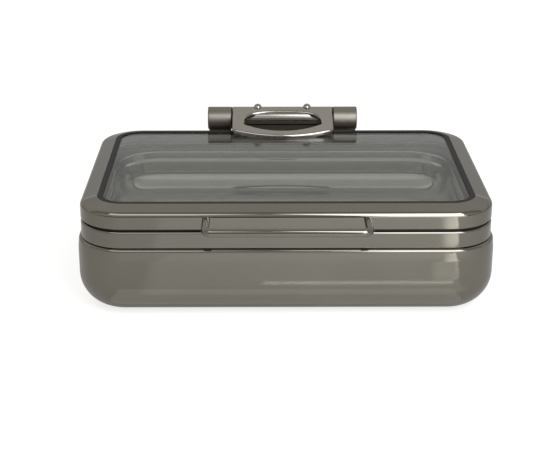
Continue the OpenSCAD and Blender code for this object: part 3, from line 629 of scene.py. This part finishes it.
class DISH_OT_hinge_plate(bpy.types.Operator):
    """Cast hinge plate with its window, knuckle, feet and domed screws"""
    bl_idname = "chafing_dish.hinge_plate"
    bl_label = "Hinge plate"

    def execute(self, context):
        s = context.scene.dish_sizes
        half, front, nose_low = PLATE_HIGH.x, PLATE_LOW.y, GLASS_HIGH.z + 0.3 * MM
        # the plate's top runs from the top of its nose to a root just inside the knuckle
        nose_back, nose_top, back_off, sink = front + 3.5 * MM, nose_low + s.nose_height, 6 * MM, 0.2 * MM
        root, root_z = AXIS.y - back_off, AXIS.z + (BARREL ** 2 - back_off ** 2) ** 0.5 - sink
        rise = (root_z - nose_top) / (root - nose_back)

        def top_z(y):
            """Height of the plate's top."""
            return nose_top + (y - nose_back) * rise

        # outline in plan: straight sides and back, bowed front, eased corners
        bm = bmesh.new()
        bow = (half ** 2 + s.nose_bow ** 2) / (2 * s.nose_bow)
        first = bm.verts.new((half, root, 0))
        made = bmesh.ops.extrude_vert_indiv(bm, verts=[first])
        right = made["verts"][0]
        right.co = (half, front + s.nose_bow, 0)
        made = bmesh.ops.spin(bm, geom=[right], cent=(0, front + bow, 0), axis=(0, 0, -1),
                              angle=2 * asin(half / bow), steps=24, use_duplicate=False)
        left = only(made["geom_last"], bmesh.types.BMVert)[0]
        made = bmesh.ops.extrude_vert_indiv(bm, verts=[left])
        last = made["verts"][0]
        last.co = (-half, root, 0)
        back = bm.edges.new((last, first))
        bmesh.ops.bevel(bm, geom=[left, right], offset=5 * MM, offset_type="OFFSET", segments=4, profile=0.5,
                        affect="VERTICES", material=-1)
        sides = [e for e in bm.edges if e is not back and e.calc_length() > 20 * MM]
        bmesh.ops.subdivide_edges(bm, edges=sides, cuts=3)
        bmesh.ops.subdivide_edges(bm, edges=[e for e in bm.edges if e.calc_length() > 2 * half - MM], cuts=15)
        rim = bm.edges[:]
        # window in plan: a circle drawn out to a bowed front and a squarer, deeper back; a power below 1 squares it
        square = 0.625
        made = bmesh.ops.create_circle(bm, segments=72, radius=1.0)
        window = made["verts"]
        wide = half - s.window_side
        arc = (wide ** 2 + s.window_rise ** 2) / (2 * s.window_rise)
        for v in window:
            if v.co.y > 0:
                v.co = (copysign(wide * abs(v.co.x) ** square, v.co.x), s.window_reach * v.co.y ** square, 0)
            else:
                x = wide * (1 - 2 * abs(atan2(v.co.y, v.co.x)) / pi)
                v.co = (x, arc - s.window_rise - (arc ** 2 - x ** 2) ** 0.5, 0)
        bmesh.ops.translate(bm, verts=window, vec=(0, front + s.window_bar + s.window_rise, 0))
        hole = list({e for v in window for e in v.link_edges})
        bmesh.ops.bridge_loops(bm, edges=rim + hole)
        made = bmesh.ops.extrude_face_region(bm, geom=bm.faces[:] + bm.edges[:] + bm.verts[:], use_keep_orig=True)
        upper = set(only(made["geom"], bmesh.types.BMVert))
        for v in bm.verts:
            v.co.z = top_z(v.co.y) if v in upper else max(nose_low, top_z(v.co.y) - s.plate_thickness)
        bmesh.ops.recalc_face_normals(bm, faces=bm.faces)
        rims = [e for e in bm.edges if len(e.link_faces) == 2 and e.calc_face_angle() > radians(50)]
        bmesh.ops.bevel(bm, geom=rims, offset=s.plate_round, offset_type="OFFSET", segments=5, profile=0.5,
                        affect="EDGES", material=-1, clamp_overlap=True)
        # feet that stand on the lid's shoulder
        crease = LID_LOW.z + s.skirt_height
        slope = (LID_HIGH.z - crease) / s.shoulder_width

        def shoulder_z(y):
            """Height of the lid's rear shoulder."""
            return crease + (LID_HIGH.y - y) * slope

        foot_x, foot_width, foot_front, foot_back = half - 8 * MM, 15.2 * MM, s.shoulder_width - 0.4 * MM, 3.7 * MM
        for sx in (-1, 1):
            made = bmesh.ops.create_cube(bm, size=1.0)
            for v in made["verts"]:
                y = LID_HIGH.y - (foot_front if v.co.y < 0 else foot_back)
                v.co = (sx * foot_x + v.co.x * foot_width, y, shoulder_z(y) if v.co.z < 0 else top_z(y) - 3 * MM)
            edges = list({e for v in made["verts"] for e in v.link_edges})
            bmesh.ops.bevel(bm, geom=edges, offset=1.2 * MM, offset_type="OFFSET", segments=3, profile=0.5,
                            affect="EDGES", material=-1)
        # web between the feet, which closes the gap under the knuckle; it is a dark sheet of painted shade seen
        # through the window
        web_front, web_back = AXIS.y - BARREL - 4.2 * MM, AXIS.y - BARREL - 1.2 * MM
        web_width, web_top, web_sink = 2 * (half - 12 * MM), AXIS.z - 6 * MM, 2 * MM
        made = bmesh.ops.create_cube(bm, size=1.0)
        for v in made["verts"]:
            y = web_front if v.co.y < 0 else web_back
            v.co = (v.co.x * web_width, y, shoulder_z(y) - web_sink if v.co.z < 0 else web_top)
        # the web's faces take the dark painted-shade finish
        for face in {f for v in made["verts"] for f in v.link_faces}:
            face.material_index = 1
        # knuckle, with a boss under each domed screw
        line = draw_line(bm, [(-half, 0), (-half, BARREL, 0.9 * MM), (half, BARREL, 0.9 * MM), (half, 0)])
        bmesh.ops.translate(bm, verts=turn_round(bm, line, (1, 0, 0), 96), vec=AXIS)
        button, seat = s.dome / 2, BARREL + 0.2 * MM
        spot = DOME_HIGH.x - button
        for x in (-spot, spot):
            line = draw_line(bm, [(0, 0), (button, 0), (button, seat), (0, seat)])
            bmesh.ops.translate(bm, verts=turn_round(bm, line, (0, 0, 1), 40), vec=AXIS + Vector((x, 0, 0)))
        casting = place_piece("hinge_casting", bm, "polished_cast_steel", "lid", "hinge_steel", "hinge_plate")
        # second material: painted shade for the web
        casting.data.materials.append(finish("web_painted_shade_steel"))

        bm = bmesh.new()
        peak = DOME_HIGH.z - AXIS.z
        ball = (button ** 2 + (peak - seat) ** 2) / (2 * (peak - seat))
        for x in (-spot, spot):
            tip = bm.verts.new((0, 0, peak))
            before = set(bm.verts) - {tip}
            bmesh.ops.spin(bm, geom=[tip], cent=(0, 0, peak - ball), axis=(0, 1, 0),
                           angle=atan2(button, seat - peak + ball), steps=14, use_duplicate=False)
            verts = [v for v in bm.verts if v not in before]
            edges = list({e for v in verts for e in v.link_edges})
            verts = turn_round(bm, (verts, edges), (0, 0, 1), 40)
            bmesh.ops.translate(bm, verts=verts, vec=AXIS + Vector((x, 0, 0)))
        fill_open(bm)
        place_piece("domed_screws", bm, "polished_cast_steel", "lid", "hinge_steel", "lock_screws")

        bm = bmesh.new()
        tilt = atan2(LID_HIGH.z - crease, s.shoulder_width)
        y = LID_HIGH.y - 11.5 * MM
        for sx in (-1, 1):
            where = (Matrix.Translation((sx * foot_x, y, shoulder_z(y)))
                     @ Matrix.Rotation(pi - tilt, 4, "X") @ Matrix.Translation((0, 0, s.gauge)))
            add_screw(bm, where, *PLATE_SCREW)
        place_piece("plate_bolts", bm, "bright_zinc_plated_steel", "lid", "satin_steel", "hinge_plate_screws",
                    even=False)
        dress("hinge_pin", "bright_zinc_plated_steel")
        return {"FINISHED"}


class DISH_OT_barrel_ends(bpy.types.Operator):
    """Fixed barrel ends with their caps, dampers and washers"""
    bl_idname = "chafing_dish.barrel_ends"
    bl_label = "Barrel ends"

    def execute(self, context):
        s = context.scene.dish_sizes
        bore = BARREL - 4.5 * MM
        plug, play = 4 * MM, 0.1 * MM
        near, far, end = TUBE_LOW.x, TUBE_HIGH.x, CAPS_HIGH.x
        caps = bmesh.new()
        for name, sx in (("left", -1), ("right", 1)):
            bm = bmesh.new()
            line = draw_line(bm, [(sx * near, bore, 0.3 * MM), (sx * near, BARREL, 0.8 * MM),
                                  (sx * far, BARREL, 0.35 * MM), (sx * far, bore, 0.3 * MM)], close=True)
            bmesh.ops.translate(bm, verts=turn_round(bm, line, (1, 0, 0), 96), vec=AXIS)
            place_piece("barrel_" + name, bm, "turned_stainless_steel", "dish", "hinge_steel", "knuckle_" + name)
            line = draw_line(caps, [(sx * (far - plug), 0), (sx * (far - plug), bore - play, 0.3 * MM),
                                    (sx * far, bore - play), (sx * far, BARREL, 0.3 * MM),
                                    (sx * end, BARREL, s.cap_round - 0.35 * MM), (sx * end, 0)])
            bmesh.ops.translate(caps, verts=turn_round(caps, line, (1, 0, 0), 96), vec=AXIS)
        place_piece("barrel_caps", caps, "turned_stainless_steel", "dish", "hinge_steel", "knuckle_caps")
        for node in ("damper_left", "damper_right", "thrust_washers"):
            dress(node, "moulded_black_nylon")
        return {"FINISHED"}


class DISH_OT_bracket(bpy.types.Operator):
    """Bracket behind the band, with its bolts and nuts"""
    bl_idname = "chafing_dish.bracket"
    bl_label = "Hinge bracket"

    def execute(self, context):
        bm = bmesh.new()
        bm.from_mesh(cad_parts["hinge_bracket"].data)
        bmesh.ops.remove_doubles(bm, verts=bm.verts, dist=MERGE)
        bmesh.ops.dissolve_limit(bm, angle_limit=radians(1), verts=bm.verts, edges=bm.edges)
        piece = place_piece("rear_bracket", bm, "bright_zinc_plated_steel", "dish", "satin_steel", "hinge_bracket",
                            even=False)
        ease = piece.modifiers.new("eased_edges", "BEVEL")
        ease.width, ease.segments, ease.limit_method, ease.angle_limit = 0.6 * MM, 3, "ANGLE", radians(60)
        ease.use_clamp_overlap = True
        normals = piece.modifiers.new("even_normals", "WEIGHTED_NORMAL")
        normals.keep_sharp = True

        bm = bmesh.new()
        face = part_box("hinge_bracket")[1].y
        z = sum(point.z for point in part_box("bracket_screws")) / 2
        for x in (30 * MM, (TUBE_LOW.x + TUBE_HIGH.x) / 2):
            for sx in (-1, 1):
                where = Matrix.Translation((sx * x, face, z)) @ Matrix.Rotation(-pi / 2, 4, "X")
                add_screw(bm, where, *BRACKET_SCREW)
        place_piece("bracket_bolts", bm, "bright_zinc_plated_steel", "dish", "satin_steel", "bracket_screws",
                    even=False)
        dress("bracket_nuts", "bright_zinc_plated_steel")
        return {"FINISHED"}


# added brightness of the table for each kind of ray, which makes it a white ground and a pale reflection
TABLE_LIFT = (("Is Camera Ray", 0.74), ("Is Glossy Ray", 0.18), ("Is Transmission Ray", 0.55))
# brightness of the room along an arc: 0 at the horizon behind the camera, 0.5 overhead, 1 at the far horizon
ROOM = ((0.055, 0.15), (0.10, 0.68), (0.24, 0.72), (0.31, 0.44), (0.50, 0.40), (0.59, 0.62), (0.63, 0.68),
        (0.68, 0.66), (0.77, 0.64), (0.88, 0.48), (0.8985, 0.475), (0.901, 0.61), (0.905, 0.76), (0.912, 0.72),
        (0.925, 0.46), (1.0, 0.44))
# name, place, width and depth, and power of each lamp; the strips also have a turn in degrees
SOFTBOXES = (("key_softbox", (0.53, -1.15, 0.95), (0.85, 1.3), 15.5),
             ("low_softbox", (0.60, -1.20, 0.22), (0.9, 0.4), 2.0),
             ("fill_softbox", (-0.46, -0.86, 1.12), (0.8, 0.5), 2.1))
STRIPS = (("table_pool", (0.05, -0.485, 0.06), (0.50, 0.53), 0.20, 0),
          ("far_strip", (0.328, -0.595, 0.06), (0.11, 0.31), 0.27, 8.7),
          ("near_strip", (0.272, -0.382, 0.06), (0.09, 0.105), 0.032, 8.7),
          ("front_strip", (0.095, -0.382, 0.06), (0.26, 0.105), 0.015, 0),
          ("low_strip", (0.115, -0.321, 0.03), (0.29, 0.010), 0.011, 0),
          ("foot_strip", (0.0, -0.220, 0.008), (0.50, 0.085), 0.040, 0))
CAMERA_PLACE, CAMERA_DOWN, CAMERA_TURN = (-0.0359, -1.8235, 0.7642), 21.127, -0.305


def add_lamp(name, place, size, power):
    """Adds a rectangular lamp that shines down."""
    lamp = bpy.data.lights.new(name, "AREA")
    lamp.shape, lamp.energy = "RECTANGLE", power
    lamp.size, lamp.size_y = size
    holder = bpy.data.objects.new(name, lamp)
    holder.location = place
    bpy.context.scene.collection.objects.link(holder)
    return lamp, holder


class DISH_OT_stage(bpy.types.Operator):
    """Plain pale floor, soft light and the camera"""
    bl_idname = "chafing_dish.stage"
    bl_label = "Stage"

    def execute(self, context):
        scene = context.scene
        scene.view_settings.view_transform = "Standard"

        bm = bmesh.new()
        bmesh.ops.create_grid(bm, x_segments=1, y_segments=1, size=12.0)
        mesh = bpy.data.meshes.new("floor")
        bm.to_mesh(mesh)
        bm.free()
        floor = bpy.data.objects.new("floor", mesh)
        scene.collection.objects.link(floor)
        # matt painted table top: pale, with no gloss
        material, tree, _, shader = new_material("matt_white_table")
        shader.inputs["Base Color"].default_value = to_linear("#BDBCBA")
        shader.inputs["Roughness"].default_value = 0.9
        shader.inputs["Specular IOR Level"].default_value = 0.0
        seen = add_node(tree, "ShaderNodeLightPath")
        shader.inputs["Emission Color"].default_value = to_linear("#FFFFFF")
        sums = []
        for ray, level in TABLE_LIFT:
            links = {0: seen.outputs[ray]}
            if sums:
                links[2] = sums[-1].outputs[0]
            sums.append(add_node(tree, "ShaderNodeMath", {1: level, 2: 0.0}, links, operation="MULTIPLY_ADD"))
        tree.links.new(sums[-1].outputs[0], shader.inputs["Emission Strength"])
        mesh.materials.append(material)

        world = bpy.data.worlds.new("studio")
        scene.world = world
        world.use_nodes = True
        tree = world.node_tree
        tree.nodes.clear()
        ray = add_node(tree, "ShaderNodeTexCoord").outputs["Generated"]
        parts = add_node(tree, "ShaderNodeSeparateXYZ", links={"Vector": ray})
        ahead = add_node(tree, "ShaderNodeMath", {1: -1.0}, {0: parts.outputs["Y"]}, operation="MULTIPLY")
        angle = add_node(tree, "ShaderNodeMath", {}, {0: parts.outputs["Z"], 1: ahead.outputs[0]},
                         operation="ARCTAN2")
        ramp = add_node(tree, "ShaderNodeValToRGB")
        along = add_node(tree, "ShaderNodeMapRange", {"From Max": pi}, {"Value": angle.outputs[0]})
        tree.links.new(along.outputs["Result"], ramp.inputs["Fac"])
        stops = ramp.color_ramp.elements
        stops.remove(stops[1])
        stops[0].position, stops[0].color = 0.0, (0.15, 0.14, 0.13, 1)
        for where, level in ROOM:
            stops.new(where).color = (level, level * 0.99, level * 0.97, 1)
        seen = add_node(tree, "ShaderNodeLightPath")
        whole = add_node(tree, "ShaderNodeMix", data_type="RGBA")
        tree.links.new(seen.outputs["Is Camera Ray"], whole.inputs["Factor"])
        tree.links.new(ramp.outputs["Color"], whole.inputs[6])
        whole.inputs[7].default_value = (0.94, 0.94, 0.93, 1)
        light = add_node(tree, "ShaderNodeBackground", links={"Color": whole.outputs[2]})
        add_node(tree, "ShaderNodeOutputWorld", links={"Surface": light.outputs["Background"]})

        for softbox in SOFTBOXES:
            lamp, holder = add_lamp(*softbox)
            lamp.color = (0.94, 0.96, 1.0)
            # the glass shows the pan in the room's light alone, without the lamps' sharp image
            holder.visible_transmission = False
            holder.rotation_euler = (Vector((0, 0, 0.1)) - holder.location).to_track_quat("-Z", "Y").to_euler()
        # strip lights close over the table, seen only as bright patches that the walls mirror
        for *strip, turn in STRIPS:
            lamp, holder = add_lamp(*strip)
            lamp.spread = radians(20)
            holder.rotation_euler = (0, 0, radians(turn))

        lens = bpy.data.cameras.new("camera")
        lens.sensor_width, lens.lens = 36.0, 89.19
        lens.clip_start, lens.clip_end = 0.05, 60.0
        camera = bpy.data.objects.new("camera", lens)
        camera.location = CAMERA_PLACE
        camera.rotation_euler = (radians(90 - CAMERA_DOWN), 0, radians(CAMERA_TURN))
        scene.collection.objects.link(camera)
        scene.camera = camera
        return {"FINISHED"}


STEPS = (DISH_OT_stage, DISH_OT_water_pan, DISH_OT_upper_band, DISH_OT_food_pan, DISH_OT_lid, DISH_OT_handle,
         DISH_OT_hinge_plate, DISH_OT_barrel_ends, DISH_OT_bracket)


class DISH_PT_panel(bpy.types.Panel):
    """Lists the pieces of the dish, its sizes and its colours"""
    bl_idname = "DISH_PT_panel"
    bl_label = "Chafing dish"
    bl_space_type = "VIEW_3D"
    bl_region_type = "UI"
    bl_category = "Chafing dish"

    def draw(self, context):
        for step in STEPS:
            self.layout.operator(step.bl_idname)
        for group in (context.scene.dish_sizes, context.scene.dish_colours):
            for name in group.bl_rna.properties.keys():
                if name not in ("rna_type", "name"):
                    self.layout.prop(group, name)


CLASSES = (DishSizes, DishColours, *STEPS, DISH_PT_panel)


def register():
    for part in CLASSES:
        bpy.utils.register_class(part)
    bpy.types.Scene.dish_sizes = bpy.props.PointerProperty(type=DishSizes)
    bpy.types.Scene.dish_colours = bpy.props.PointerProperty(type=DishColours)


def unregister():
    del bpy.types.Scene.dish_colours
    del bpy.types.Scene.dish_sizes
    for part in reversed(CLASSES):
        bpy.utils.unregister_class(part)


def main():
    register()
    steps = bpy.ops.chafing_dish
    steps.stage()
    steps.water_pan()
    steps.upper_band()
    steps.food_pan()
    steps.lid()
    steps.handle()
    steps.hinge_plate()
    steps.barrel_ends()
    steps.bracket()


if __name__ == "__main__":
    main()
